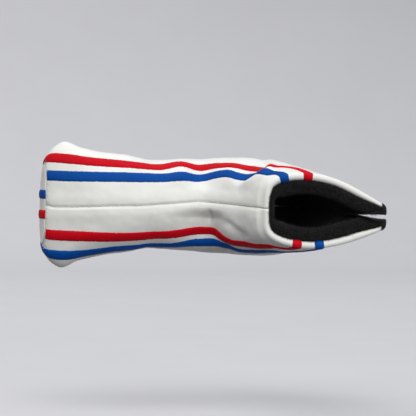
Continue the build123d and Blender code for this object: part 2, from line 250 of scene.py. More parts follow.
def side_grid(side):
    """Points of one side panel from the toe seam to the mouth and over its rolled rim, and their arcs."""
    share = side_columns(COLUMNS)
    points, arcs = [], []
    for i in range(last_row + 1):
        start, end = side * wander[i], end_of_side(sections[i])
        arc = side * (start + (end - start) * share)
        points.append(sections[i].at(arc))
        arcs.append(arc)
    arc = side * (side * wander[-1] + (end_of_side(MOUTH) - side * wander[-1]) * share)
    ring = MOUTH.at(arc)
    out = ring_normals(ring, side)
    radius = rim_radius(arc, MOUTH.total)[:, None]
    centre = ring - out * radius - MOUTH_OUT * radius
    first = centre + out * radius
    rim = [points[last_row] * (1 - step) + first * step for step in RIM_EASE]
    for angle in np.linspace(0, math.pi, 15):
        rim.append(centre + radius * (math.cos(angle) * out + math.sin(angle) * MOUTH_OUT))
    rim += [centre - radius * out - MOUTH_OUT * drop for drop in RIM_TUCK]
    return np.array(points + rim), np.array(arcs + [arc] * len(rim))


def crease(p, z, start, end, toe_width, heel_width, depth, lip=0.0, fade_in=4.5, fade_out=4.5):
    """A valley along a line seen square to the mouth, with its own width on each side and a heel lip."""
    start, end = np.array(start, float), np.array(end, float)
    run = end - start
    length = np.hypot(*run)
    run /= length
    along = (p - start[0]) * run[0] + (z - start[1]) * run[1]
    across = ((p - start[0]) * run[1] - (z - start[1]) * run[0]) * np.sign(run[1])
    fade = smooth(along, -fade_in / 2, fade_in / 2)
    fade = fade * (1 - smooth(along, length - fade_out / 2, length + fade_out / 2))
    valley = -depth * np.where(across > 0, hump(across, 0, heel_width), hump(across, 0, toe_width))
    ridge = lip * hump(across, heel_width * 2.2, heel_width * 1.8)
    return (valley + ridge) * fade


def lumps(points, size, seed):
    """Soft unevenness, the same each time for one seed."""
    flat = points.reshape(-1, 3) / size
    shift = Vector((seed * 7.3, seed * 3.1, seed * 5.7))
    values = np.array([noise.noise(Vector(p) + shift) for p in flat])
    return values.reshape(points.shape[:-1])


def relief(points, arcs, start_arc, end_arc):
    """How far the leather stands in or out of its smooth shape: puckered seams, lumps and folds."""
    p = seen(points)
    z = points[..., 2]
    from_seam = np.abs(arcs - start_arc)
    from_end = np.abs(end_arc - arcs)
    out = -0.6 * hump(from_seam, 0, 0.8) + 0.3 * hump(from_seam, 4.0, 3.2)
    out += -0.7 * hump(from_end, 0, 0.8) + 0.3 * hump(from_end, 3.5, 3.0)
    out += -0.3 * hump(points[..., 0], TOE_SEAM_ALONG, 0.7)
    front = smooth(points[..., 1], 20, 27)
    out += 0.22 * lumps(points, 9.0, 1) + 0.10 * lumps(points, 3.6, 2)
    # The instep's big fold on the lower side, with a sharp crease at its bottom and a small one after it.
    folds = crease(p, z, (89.0, -4.0), (88.5, -19.0), 13.0, 6.0, 3.6, fade_in=7.0, fade_out=8.0)
    folds += crease(p, z, (88.9, -2.5), (88.4, -9.0), 1.8, 0.7, 0.9)
    folds += crease(p, z, (108.0, -15.5), (97.0, -8.0), 2.6, 2.0, 0.9)
    # The slanting fold over the upper side, where the boot turns up to the mouth.
    folds += crease(p, z, (104.5, 13.5), (119.5, 23.8), 4.6, 1.1, 1.9, lip=1.2, fade_in=9.0)
    shoulder = smooth(points[..., 1], 12, 22) * smooth(z, 8, 15) * (1 - 0.8 * smooth(z, 20, 25))
    waves = 1.5 * hump(p, 72.5, 5.5) - 1.9 * hump(p, 83.0, 5.5) + 1.1 * hump(p, 99.0, 7.0)
    return out + folds * front + waves * shoulder


def soften(points, first, last, times):
    """Evens out the rows between two others, so that one stretch of a grid runs smoothly into the next."""
    for _ in range(times):
        middle = points[first:last]
        points[first:last] = (points[first - 1:last - 1] + 2 * middle + points[first + 1:last + 1]) / 4
    return points


def side_panel(side):
    """A side panel's points, outward normals and distances from the instep line."""
    points, arcs = side_grid(side)
    normals = -grid_normals(points) * side
    off_the_rim = 1 - smooth(np.arange(len(points)), last_row - 2, last_row + 4)[:, None]
    out = relief(points, arcs, arcs[:, :1], arcs[:, -1:]) * off_the_rim
    points = soften(points + normals * out[..., None], last_row - 12, last_row + 8, 30)
    return points, -grid_normals(points) * side, arcs


def mesh_object(name, vertices, faces, material, body=None, uv=None):
    """A smooth-shaded piece from world vertices, riding on a body if one is given."""
    mesh = bpy.data.meshes.new(name)
    mesh.from_pydata([tuple(v) for v in vertices], [], faces)
    mesh.polygons.foreach_set("use_smooth", np.ones(len(mesh.polygons), bool))
    if uv is not None:
        layer = mesh.uv_layers.new(name="threads")
        loops = np.zeros(len(mesh.loops), dtype=np.int32)
        mesh.loops.foreach_get("vertex_index", loops)
        layer.data.foreach_set("uv", np.asarray(uv, float)[loops].ravel())
    mesh.materials.append(material)
    mesh.validate()
    obj = bpy.data.objects.new(name, mesh)
    bpy.context.collection.objects.link(obj)
    if body:
        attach(obj, body)
    return obj


def grid_faces(rows, columns, flip=False, first=0, wrap=False):
    """The faces between the points of a grid, whose columns may wrap round into a tube."""
    faces = []
    across = columns if wrap else columns - 1
    for i in range(rows - 1):
        for j in range(across):
            a, b = first + i * columns + j, first + i * columns + (j + 1) % columns
            c, d = b + columns, a + columns
            faces.append((a, b, c, d) if flip else (a, d, c, b))
    return faces


def thicken(obj, thickness):
    """Gives a sheet its other face, on the inner side, and closes its edges."""
    solid = obj.modifiers.new("thickness", "SOLIDIFY")
    solid.thickness = thickness * MM
    solid.offset = -1
    solid.use_even_offset = False
    graph = bpy.context.evaluated_depsgraph_get()
    mesh = bpy.data.meshes.new_from_object(obj.evaluated_get(graph))
    old = obj.data
    obj.modifiers.clear()
    obj.data = mesh
    bpy.data.meshes.remove(old)
    return obj


# ---------------------------------------------------------------- materials


class Look:
    """A material's nodes, added one by one."""

    def __init__(self, name):
        self.material = bpy.data.materials.new(name)
        self.material.use_nodes = True
        self.tree = self.material.node_tree
        self.shader = self.tree.nodes["Principled BSDF"]
        self.place = self.add("ShaderNodeTexCoord").outputs["Object"]

    def add(self, kind, **settings):
        node = self.tree.nodes.new(kind)
        for key, value in settings.items():
            setattr(node, key, value)
        return node

    def link(self, a, b):
        self.tree.links.new(a, b)

    def set(self, **values):
        for key, value in values.items():
            self.shader.inputs[key.replace("_", " ")].default_value = value
        return self

    def cells(self, size):
        node = self.add("ShaderNodeTexVoronoi", feature="F1")
        node.inputs["Scale"].default_value = 1000 / size
        self.link(self.place, node.inputs["Vector"])
        return node.outputs["Distance"]

    def cloud(self, size, detail=3.0, rough=0.55, stretch=None):
        node = self.add("ShaderNodeTexNoise")
        node.inputs["Scale"].default_value = 1000 / size
        node.inputs["Detail"].default_value = detail
        node.inputs["Roughness"].default_value = rough
        source = self.place
        if stretch:
            mapping = self.add("ShaderNodeMapping")
            mapping.inputs["Scale"].default_value = stretch
            self.link(source, mapping.inputs["Vector"])
            source = mapping.outputs["Vector"]
        self.link(source, node.inputs["Vector"])
        return node.outputs["Fac"]

    def ramp(self, value, *stops):
        node = self.add("ShaderNodeValToRGB")
        while len(node.color_ramp.elements) < len(stops):
            node.color_ramp.elements.new(0.5)
        for element, (where, colour) in zip(node.color_ramp.elements, stops):
            element.position = where
            element.color = (*colour, 1) if len(colour) == 3 else colour
        self.link(value, node.inputs["Fac"])
        return node.outputs["Color"]

    def spread(self, value, low, high):
        node = self.add("ShaderNodeMapRange")
        node.inputs["To Min"].default_value = low
        node.inputs["To Max"].default_value = high
        self.link(value, node.inputs["Value"])
        return node.outputs["Result"]

    def bump(self, value, distance, strength=1.0):
        node = self.add("ShaderNodeBump")
        node.inputs["Distance"].default_value = distance * MM
        node.inputs["Strength"].default_value = strength
        self.link(value, node.inputs["Height"])
        socket = self.shader.inputs["Normal"]
        if socket.is_linked:
            self.link(socket.links[0].from_socket, node.inputs["Normal"])
        self.link(node.outputs["Normal"], socket)

    def colour(self, output):
        self.link(output, self.shader.inputs["Base Color"])

    def roughness(self, output):
        self.link(output, self.shader.inputs["Roughness"])

    def threads(self, pitch):
        """A wave along the stripe, one crest for each thread, slightly uneven."""
        uv = self.add("ShaderNodeUVMap", uv_map="threads")
        wave = self.add("ShaderNodeTexWave", wave_type="BANDS", bands_direction="Y")
        wave.inputs["Scale"].default_value = 1 / pitch * 0.314
        wave.inputs["Distortion"].default_value = 1.2
        wave.inputs["Detail"].default_value = 2.0
        wave.inputs["Detail Scale"].default_value = 0.6
        self.link(uv.outputs["UV"], wave.inputs["Vector"])
        return wave.outputs["Fac"]


def leather_look():
    look = Look("white_faux_leather").set(Specular_IOR_Level=0.42, Coat_Weight=0.06, Coat_Roughness=0.35)
    look.colour(look.ramp(look.cloud(22), (0.30, (0.80, 0.80, 0.755)), (0.70, (0.875, 0.875, 0.84))))
    look.roughness(look.spread(look.cloud(5), 0.36, 0.50))
    look.bump(look.cells(0.85), 0.035, 0.5)
    look.bump(look.cloud(2.4, 5), 0.10, 0.35)
    return look.material


def embroidery_look(name, dark, bright):
    look = Look(name).set(Specular_IOR_Level=0.10)
    # The colour follows the threads: the dark value is painted shade in the grooves between them, and the
    # bright value is a painted highlight on each crest.
    look.colour(look.ramp(look.threads(0.42), (0.0, dark), (0.55, bright)))
    look.roughness(look.spread(look.cloud(1.5), 0.42, 0.58))
    look.bump(look.threads(0.14), 0.05, 0.6)
    return look.material


def plush_look(name, low=0.0045, high=0.016):
    look = Look(name).set(Sheen_Weight=0.10, Sheen_Roughness=0.5, Specular_IOR_Level=0.12, Roughness=0.95)
    stops = (0.25, (low, low, low * 1.05)), (0.8, (high, high, high * 1.06))
    look.colour(look.ramp(look.cloud(1.1, 6, 0.7), *stops))
    look.bump(look.cloud(0.55, 6, 0.75), 0.55, 1.0)
    look.bump(look.cells(0.8), 0.30, 0.6)
    return look.material


def thread_look():
    look = Look("white_thread").set(Sheen_Weight=0.2)
    look.colour(look.ramp(look.cloud(0.8), (0.3, (0.66, 0.66, 0.62)), (0.7, (0.82, 0.82, 0.78))))
    look.roughness(look.spread(look.cloud(0.6), 0.5, 0.7))
    look.bump(look.cloud(0.25, 2, 0.5, (1, 4, 4)), 0.05, 0.6)
    return look.material


def cloth_look(name, colour, size=0.7):
    look = Look(name).set(Roughness=0.9, Sheen_Weight=0.1)
    dark = tuple(c * 0.8 for c in colour)
    look.colour(look.ramp(look.cloud(size * 3), (0.3, dark), (0.7, colour)))
    look.bump(look.cells(size), 0.15, 0.8)
    return look.material


def nickel_look():
    look = Look("magnet_nickel").set(Metallic=1.0)
    look.colour(look.ramp(look.cloud(3), (0.3, (0.62, 0.61, 0.58)), (0.7, (0.72, 0.71, 0.68))))
    look.roughness(look.spread(look.cloud(0.8, 2, 0.5, (1, 12, 1)), 0.18, 0.32))
    return look.material


LEATHER_WHITE = leather_look()
# For each embroidery, the first colour is painted shade between the threads and the second is a painted
# highlight on their crests.
RED = embroidery_look("red_embroidery", (0.36, 0.0005, 0.005), (0.74, 0.002, 0.014))
BLUE = embroidery_look("blue_embroidery", (0.0, 0.035, 0.19), (0.0005, 0.09, 0.43))
PLUSH = plush_look("black_plush")
# The fibres on the collar are a lighter copy of the black plush under them. Their lighter colour is a painted
# highlight on the rolled collar.
PILE = plush_look("black_pile_painted_highlight", 0.010, 0.065)
BINDING = plush_look("black_edge_binding", 0.006, 0.02)
THREAD = thread_look()
FOAM = cloth_look("padding_foam", (0.72, 0.71, 0.66), 0.9)
POUCH = cloth_look("pouch_cloth", (0.6, 0.6, 0.57))
NICKEL = nickel_look()


# ---------------------------------------------------------------- leather pieces


def fold(obj):
    """Bakes the piece's placement into its mesh; nothing bends it at a flap's fold line."""
    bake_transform(obj)


SIDES = {"upper": 1, "lower": -1}
panels = {}
for side_name, side in SIDES.items():
    points, normals, arcs = side_panel(side)
    panels[side_name] = (points, normals, arcs)
    rows, columns = points.shape[:2]
    world = to_world(points).reshape(-1, 3)
    faces = grid_faces(rows, columns, flip=side < 0)
    panel = mesh_object(f"{side_name}_panel", world, faces, LEATHER_WHITE)
    thicken(panel, SHEET["leather"])
    fold(panel)
    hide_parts(f"{side_name}_side_panel", f"{side_name}_flap_panel")


def sole_rows():
    """The sections that the sole panel spans."""
    return [i for i in range(len(sections)) if sections[i].back[1] < SLIT_FOOT_RISE - 1.5]


def sole_strip(columns=90):
    """The sole panel between its two seams, from the toe end to the foot of the slit."""
    points = []
    share = np.linspace(-1, 1, columns)
    for i in sole_rows():
        section = sections[i]
        half = max(section.total - section.seam, 2.0)
        arc = section.total - half * np.abs(share)
        found = section.at(arc)
        found[:, 2] *= -np.sign(np.where(share == 0, 1, share))
        points.append(found)
    return np.array(points), share


def sole_relief(points, share):
    """How far the sole stands in or out: puckered edges and lumps."""
    half = np.linalg.norm(points[:, -1] - points[:, 0], axis=1)[:, None] / 2
    from_edge = (1 - np.abs(share))[None] * half
    out = -0.7 * hump(from_edge, 0, 0.8) + 0.3 * hump(from_edge, 3.5, 3.0)
    return out + 0.25 * lumps(points, 10.0, 4) + 0.1 * lumps(points, 3.6, 5)


def toe_cap(columns=70, rows=19):
    """The end of the sole panel, curled round the toe up to the toe seam."""
    start = sections[0]
    heights = start.width * np.sin(np.linspace(-math.pi / 2, math.pi / 2, columns)) * 0.999
    q_half = np.linspace(0, 0.5, 200)
    front = start.points(q_half)
    back = start.points(1 - q_half)
    reach = 0.4 * TOE_SEAM_ALONG + 0.4 * (1 - smooth(np.abs(heights), 6, 17))
    past_flat = np.clip((np.abs(heights) - CAP_FLAT) / (start.width - CAP_FLAT), 0, 1)
    tip = np.maximum(reach * np.sqrt(1 - past_flat**2), 0.1)
    top = np.interp(np.abs(heights), front[:, 2], front[:, 1])
    bottom = np.interp(np.abs(heights), back[:, 2], back[:, 1])
    turns = np.linspace(0, math.pi, rows)[:, None]
    along = TOE_SEAM_ALONG - tip * np.sin(turns)
    rise = (top + bottom) / 2 - (top - bottom) / 2 * np.cos(turns)
    return np.stack([along, rise, np.broadcast_to(heights, rise.shape)], axis=-1)


def facing_back(points, axis):
    """The normals of a grid whose middle faces against an axis of the drawing."""
    normals = grid_normals(points)
    return normals if normals[len(points) // 2, points.shape[1] // 2, axis] <= 0 else -normals


strip, strip_share = sole_strip()
strip_normals = facing_back(strip, 1)
strip = strip + strip_normals * sole_relief(strip, strip_share)[..., None]
cap = toe_cap()
cap_normals = facing_back(cap, 0)
pieces, faces, count = [], [], 0
for grid, normals in ((strip, strip_normals), (cap, cap_normals)):
    rows, columns = grid.shape[:2]
    middle = grid_normals(grid)[rows // 2, columns // 2]
    faces += grid_faces(rows, columns, flip=(middle @ normals[rows // 2, columns // 2]) > 0, first=count)
    pieces.append(grid.reshape(-1, 3))
    count += rows * columns
sole = mesh_object("sole_leather", to_world(np.vstack(pieces)), faces, LEATHER_WHITE, "root")
thicken(sole, SHEET["leather"])
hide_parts("sole_panel")


# ---------------------------------------------------------------- lining, foam, binding


def pinch(t):
    """How far inside the heel line the cavity ends."""
    return WALL + 3.7 * smooth(t, 0.62, 0.80)


def collar_rows(side, columns=150):
    """The plush ring inside the rolled rim, a fat roll that leads down into the cavity, and its arcs."""
    start = side * wander[-1] - INSTEP_LAP
    arc = side * (start + (MOUTH.total - HEEL_SHORT - start) * np.linspace(0, 1, columns))
    ring = MOUTH.at(arc)
    out = ring_normals(ring, side)
    rim = rim_radius(arc, MOUTH.total)
    # Near the tips the roll fills the whole width up to the slit.
    room = np.maximum((np.abs(ring[:, 2]) - 0.7 - 2 * rim * 0.9) / 2, 0.5)
    radius = np.minimum(COLLAR_RADIUS, room)[:, None]
    pleat = 1 + 0.05 * np.sin(arc * 2.3) + 0.08 * lumps(ring, 4.0, 9)
    centre = ring - out * (2 * rim[:, None] * 0.92 + radius) - MOUTH_OUT * (radius * 0.9 + 0.5)
    rows = []
    for angle in np.linspace(-0.9, math.pi + 0.35, 26):
        offset = math.cos(angle) * out + math.sin(angle) * MOUTH_OUT
        rows.append(centre + offset * radius * pleat[:, None])
    return rows, arc


def side_lining(side):
    """Half of the plush lining: the collar, then the cavity's wall down to the toe."""
    collar, arc = collar_rows(side)
    share = np.linspace(0, 1, len(arc))
    wall = []
    for i in range(last_row, 0, -3):
        start = side * wander[i] - INSTEP_LAP
        long = side * (start + (sections[i].total - 0.3 - start) * share)
        wall.append(sections[i].at(long, WALL, pinch(row_t[i])))
    bridge = [collar[-1] * (1 - step) + wall[0] * step for step in (0.25, 0.5, 0.75)]
    grid = np.array(collar + bridge + wall)
    wrinkle = 0.35 * lumps(grid, 6.0, 12)
    return grid - grid_normals(grid) * side * wrinkle[..., None]


linings = {}
for side_name, side in SIDES.items():
    grid = linings[side_name] = side_lining(side)
    rows, columns = grid.shape[:2]
    lining = mesh_object(f"{side_name}_plush_lining", to_world(grid).reshape(-1, 3),
                         grid_faces(rows, columns, flip=side < 0), PLUSH)
    thicken(lining, SHEET["plush"])
    fold(lining)
    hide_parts(f"{side_name}_side_lining", f"{side_name}_flap_lining",
                *(["sole_lining"] if side > 0 else []))


def foam_layer(side_name):
    """The two faces of the sheet of foam that lies right under the leather and follows its folds."""
    points, normals = panels[side_name][:2]
    rows, columns = slice(3, last_row - 2, 3), slice(2, -3, 2)
    return [points[rows, columns] - normals[rows, columns] * depth for depth in (1.5, 3.0)]


def closed_slab(name, outer, inner, flip, material, body=None):
    """A solid between two grids of the same size."""
    rows, columns = outer.shape[:2]
    count = rows * columns
    vertices = np.vstack([outer.reshape(-1, 3), inner.reshape(-1, 3)])
    faces = grid_faces(rows, columns, flip) + grid_faces(rows, columns, not flip, first=count)
    edge = [(0, j) for j in range(columns)] + [(i, columns - 1) for i in range(1, rows)]
    edge += [(rows - 1, j) for j in range(columns - 2, -1, -1)] + [(i, 0) for i in range(rows - 2, 0, -1)]
    ids = [i * columns + j for i, j in edge]
    for a, b in zip(ids, ids[1:] + ids[:1]):
        faces.append((a, b, b + count, a + count) if not flip else (b, a, a + count, b + count))
    return mesh_object(name, to_world(vertices), faces, material, body)


for side_name, side in SIDES.items():
    outer, inner = foam_layer(side_name)
    foam = closed_slab(f"{side_name}_foam", outer, inner, side < 0, FOAM)
    fold(foam)
    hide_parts(f"{side_name}_side_foam", f"{side_name}_flap_foam")


def sole_foam_face(depth):
    """One face of the sole's foam, between the two sole seams."""
    turn = np.linspace(-1, 1, 60)
    face = []
    for i in sole_rows()[2:-2:4]:
        half = sections[i].total - sections[i].seam - 1.0
        found = sections[i].at(sections[i].total - half * np.abs(turn), depth)
        found[:, 2] *= -np.sign(np.where(turn == 0, 1, turn))
        face.append(found)
    return np.array(face)


foam = closed_slab("sole_foam_sheet", sole_foam_face(LEATHER + 0.4), sole_foam_face(LEATHER + 2.2), False,
                   FOAM, "root")
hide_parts("sole_foam")


def slit_binding(side):
    """Black edging round the heel edge of a flap: from the leather over the heel line and into the slit."""
    grid = []
    picked = [i for i in range(len(sections)) if sections[i].back[1] > SLIT_FOOT_RISE]
    for i in picked:
        section = sections[i]
        arc = section.total - np.linspace(binding_width(section) + 1.0, 0.75, 16)
        skin = section.at(side * arc)
        skin[:, 2] += side * 0.25
        heelward = np.array([*section.run, 0.0])
        inner = []
        for step in np.linspace(0.3, SLIT_DEPTH, 12):
            spot = np.array([*section.back, 0.0]) - heelward * step
            gap = 0.16 + 0.05 * (1 - smooth(spot[1], 14, 34)) + 0.95 * smooth(seen(spot), 165, 176)
            spot[2] = side * (gap + 0.05 * math.sin(i * 0.9 + step))
            inner.append(spot)
        grid.append(np.vstack([skin, inner]))
    top = grid[-1]
    centre = top.mean(axis=0)
    for step, lift in ((0.9, 0.5), (0.6, 0.9), (0.2, 1.1)):
        grid.append(centre + (top - centre) * step + MOUTH_OUT * lift)
    return np.array(grid)


for side_name, side in SIDES.items():
    grid = slit_binding(side)
    rows, columns = grid.shape[:2]
    binding = mesh_object(f"{side_name}_slit_binding", to_world(grid).reshape(-1, 3),
                          grid_faces(rows, columns, flip=side < 0), BINDING)
    thicken(binding, SHEET["binding"])
    fold(binding)
    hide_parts(f"{side_name}_flap_binding")


# ---------------------------------------------------------------- embroidery and stitches


class Surface:
    """Places and normals on a finished leather grid, by row and by distance from the instep line."""

    def __init__(self, points, normals, arcs):
        self.points, self.normals, self.arcs = points, normals, arcs
        self.columns = np.arange(points.shape[1])

    def column(self, i, arc):
        """The column of row i, as a fraction, that lies at a distance from the instep line."""
        known = self.arcs[i]
        order = np.argsort(known)
        return np.interp(arc, known[order], self.columns[order])

    def sample(self, row, arc):
        """The places and normals at a row, which may be a fraction, and distances."""
        i = int(np.clip(math.floor(row), 0, len(self.points) - 2))
        share = row - i
        spot, normal = 0, 0
        for k, weight in ((i, 1 - share), (i + 1, share)):
            column = self.column(k, arc)
            j = np.clip(np.floor(column).astype(int), 0, len(self.columns) - 2)
            x = (column - j)[:, None]
            spot = spot + weight * (self.points[k, j] * (1 - x) + self.points[k, j + 1] * x)
            normal = normal + weight * (self.normals[k, j] * (1 - x) + self.normals[k, j + 1] * x)
        return spot, normal / np.linalg.norm(normal, axis=1, keepdims=True)


THREAD_PITCH = 0.42
PER_THREAD = 3  # rows of points across each thread
STRIPE_WIDTH = 5.9
SOLE_STRIPE_WIDTH, SOLE_STRIPE_PLACE = 5.0, 5.25


def stripe_mesh(name, surface, centre_of, width_of, rows, material, body, height=0.62, across=11):
    """A satin-stitch stripe: crowned, with one ridge for each thread and edges that follow the threads."""
    rows = np.asarray(rows, float)
    mids = np.array([surface.sample(r, np.array([centre_of(r)]))[0][0] for r in rows])
    lengths = np.concatenate([[0], np.cumsum(np.linalg.norm(np.diff(mids, axis=0), axis=1))])
    count = int(lengths[-1] / THREAD_PITCH) * PER_THREAD
    along = np.linspace(0, lengths[-1], count)
    r_along = np.interp(along, lengths, rows)
    jitter = RNG.normal(0, 0.09, (count // PER_THREAD + 2, 2))
    lift = RNG.normal(0, 0.03, count // PER_THREAD + 2)
    share = np.linspace(-1, 1, across)
    grid, uv = [], []
    for k, r in enumerate(r_along):
        thread = k // PER_THREAD
        phase = (k % PER_THREAD + 0.5) / PER_THREAD
        ridge = math.sqrt(max(0.0, 1 - (2 * phase - 1) ** 2))
        half = width_of(r) / 2
        low, high = -half - jitter[thread, 0] * ridge, half + jitter[thread, 1] * ridge
        arc = centre_of(r) + low + (high - low) * (share + 1) / 2
        spot, normal = surface.sample(r, arc)
        ends = min(1.0, (k + 1) / (2 * PER_THREAD), (count - k) / (2 * PER_THREAD))
        crown = (1 - np.abs(share) ** 2.6) * (height + lift[thread]) * (0.45 + 0.55 * half / 3)
        up = (crown * (0.80 + 0.20 * ridge) - 0.12 * (np.abs(share) > 0.99)) * ends
        grid.append(spot + normal * up[:, None])
        uv.append(np.stack([arc, np.full(across, along[k])], axis=1))
    grid = np.array(grid)
    middle = grid_normals(grid)[count // 2, across // 2]
    flip = middle @ surface.sample(r_along[count // 2], np.array([centre_of(r_along[count // 2])]))[1][0] > 0
    obj = mesh_object(name, to_world(grid).reshape(-1, 3), grid_faces(count, across, flip=flip),
                      material, body, np.array(uv).reshape(-1, 2))
    return thicken(obj, SHEET["stripe"])


total_rows = len(panels["upper"][0])
roll_start = last_row + 1 + len(RIM_EASE)
surfaces = {name: Surface(*panels[name]) for name in SIDES}


def stripe_line(surface, places, at_rim):
    """A stripe's distance from the instep line, given at places along the cover and at the rim."""
    reaches, distances = np.array(places, float).T
    rows = np.arange(0, last_row, 4)
    nominal = np.interp(np.linspace(0, 1, len(rows)), np.linspace(0, 1, len(distances)), distances)
    found = [seen(surface.sample(r, np.array([arc]))[0][0]) for r, arc in zip(rows, nominal)]
    keys = np.interp(reaches, np.maximum.accumulate(found), rows)
    keys = np.concatenate([keys, [roll_start, total_rows]])
    values = np.concatenate([distances, [at_rim, at_rim]])[:, None]
    return lambda r: float(monotone(keys, values, np.array([r]))[0, 0])


# For each stripe: its side, its colour, its distance from the instep line at the rim, and places along the
# cover with the distance there. The stripes wander where the boot creases.
EMBROIDERY = {"red": RED, "blue": BLUE}
STRIPES = {
    "upper_blue_stripe": ("upper", "blue", 23.4, [
        (1, 15.3), (42, 14.5), (62, 15.0), (74, 15.6), (81, 16.2), (97, 18.3), (104, 17.4), (114, 20.4),
        (121, 20.6)]),
    "upper_red_stripe": ("upper", "red", 36.5, [
        (1, 25.2), (42, 22.8), (58, 22.6), (73, 24.2), (84, 24.4), (100, 25.0), (112, 25.2), (121, 27.8)]),
    "lower_red_stripe": ("lower", "red", -31.6, [
        (1, -15.6), (19, -16.5), (42, -18.0), (64, -17.0), (83, -15.3), (91, -15.8), (97, -19.0),
        (103, -21.5), (113, -22.5), (122, -23.5)]),
    "lower_blue_stripe": ("lower", "blue", -43.7, [
        (1, -26.6), (26, -27.6), (42, -26.8), (64, -26.0), (83, -22.8), (91, -22.8), (99, -24.8),
        (107, -29.8), (117, -29.2), (124, -31.0)]),
}
for name, (side_name, colour, at_rim, places) in STRIPES.items():
    surface = surfaces[side_name]
    stripe = stripe_mesh(name + "_embroidery", surface, stripe_line(surface, places, at_rim),
                         lambda r: STRIPE_WIDTH - 0.5 * smooth(r, 60, 180), range(1, total_rows - 1),
                         EMBROIDERY[colour], "root")
    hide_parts(name)

sole_half = np.array([sections[i].total - sections[i].seam for i in sole_rows()])
strip_surface = Surface(strip, strip_normals, strip_share[None] * sole_half[:, None])
cap_surface = Surface(cap, cap_normals, np.repeat(-cap[:1, :, 2], len(cap), axis=0))
for colour, where in (("blue", -SOLE_STRIPE_PLACE), ("red", SOLE_STRIPE_PLACE)):
    along_sole, round_toe = (
        stripe_mesh(f"sole_{colour}_stripe_{part}", surface, lambda r, w=where: w,
                    lambda r: SOLE_STRIPE_WIDTH, range(len(surface.points)), EMBROIDERY[colour], "root")
        for part, surface in (("embroidery", strip_surface), ("toe_end", cap_surface))
    )
    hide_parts(f"sole_{colour}_stripe")


def stitch_row(name, spots, normals, body, node, length=1.5, pitch=3.0, radius=0.20, sink=0.05):
    """Separate stitches along a seam, each a short thread that dives into the leather at both ends."""
    steps = np.linalg.norm(np.diff(spots, axis=0), axis=1)
    lengths = np.concatenate([[0], np.cumsum(steps)])
    vertices, faces = [], []
    ring, span = 7, 6
    for start in np.arange(pitch / 2, lengths[-1] - length, pitch):
        places = []
        for k in range(span + 1):
            where = start + length * k / span
            spot = np.array([np.interp(where, lengths, spots[:, c]) for c in range(3)])
            normal = np.array([np.interp(where, lengths, normals[:, c]) for c in range(3)])
            bow = math.sin(math.pi * k / span)
            places.append((spot + normal * (radius * (2.0 * bow - 1.0) + sink), normal))
        first = len(vertices)
        run = places[-1][0] - places[0][0]
        run /= np.linalg.norm(run)
        for k, (spot, normal) in enumerate(places):
            square = np.cross(run, normal)
            square /= np.linalg.norm(square)
            up = np.cross(square, run)
            fat = radius * (0.55 + 0.45 * math.sin(math.pi * k / span))
            for a in range(ring):
                turn = 2 * math.pi * a / ring
                vertices.append(spot + fat * (math.cos(turn) * square + math.sin(turn) * up))
        faces += grid_faces(span + 1, ring, first=first, wrap=True)
        faces.append(tuple(first + a for a in range(ring)))
        faces.append(tuple(first + span * ring + a for a in reversed(range(ring))))
    obj = mesh_object(name, to_world(np.array(vertices)), faces, THREAD, body)
    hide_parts(node)
    return obj


upper_points, upper_normals = panels["upper"][:2]
instep = slice(6, last_row + 1)
stitch_row("instep_seam_stitches", upper_points[instep, 1] - upper_normals[instep, 1] * 0.1,
           upper_normals[instep, 1], "root", "instep_seam_thread")
for side_name in SIDES:
    points, normals = panels[side_name][:2]
    to_heel = slice(6, len(sole_rows()) - 4)
    stitch_row(f"{side_name}_sole_seam_stitches", points[to_heel, -3], normals[to_heel, -3],
               "root", f"{side_name}_sole_seam_thread")
toe_line, toe_normals = (
    np.vstack([panels["upper"][part][2, ::-1], panels["lower"][part][2]])[20:-20] for part in (0, 1)
)
stitch_row("toe_seam_stitches", toe_line, toe_normals, "root", "toe_seam_thread")


def bar_tack(reach=4.2, zigzag=0.8, turns=30):
    """Close zigzag stitches across the foot of the slit."""
    section = min(sections, key=lambda s: abs(s.back[1] - SLIT_FOOT_RISE + 1.0))
    spots, normals = [], []
    for k in range(turns + 1):
        across = (k / turns * 2 - 1) * reach
        spot = section.at(np.array([section.total - abs(across)]))[0]
        spot[2] = math.copysign(spot[2], across)
        spot[1] += zigzag * (1 if k % 2 else -1)
        spots.append(spot)
        normals.append(np.array([*section.run, 0.15 * across / reach]))
    normals = np.array(normals) / np.linalg.norm(normals, axis=1, keepdims=True)
    return stitch_row("heel_bar_tack_stitches", np.array(spots), normals, "root", "heel_bar_tack",
                      length=1.6, pitch=1.0, radius=0.24, sink=0.25)


bar_tack()

# The magnets keep their CAD shapes, a little deeper under the softer outline of the flaps.
for side_name, side in SIDES.items():
    sink = Matrix.Translation((0, 0, -side * MAGNET_SINK * MM))
    for node, material, slot in ((f"{side_name}_magnet", NICKEL, "magnet_nickel"),
                                 (f"{side_name}_magnet_pouch", POUCH, "pouch_cloth")):
        mesh = bpy.data.objects[node].data.copy()
        mesh.transform(sink @ bpy.data.objects[node].matrix_world)
        mesh.materials.clear()
        mesh.materials.append(material)
        sunk = bpy.data.objects.new(f"{node}_in_foam", mesh)
        bpy.context.collection.objects.link(sunk)
        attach(sunk, f"{side_name}_flap")
        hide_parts(node)


# ---------------------------------------------------------------- plush pile

PILE_ROWS = 34  # rows of the lining that carry visible fibres: the collar and the start of the wall
FIBRES, FIBRE_LENGTH, FIBRE_RADIUS = 11000, 1.6, 0.085


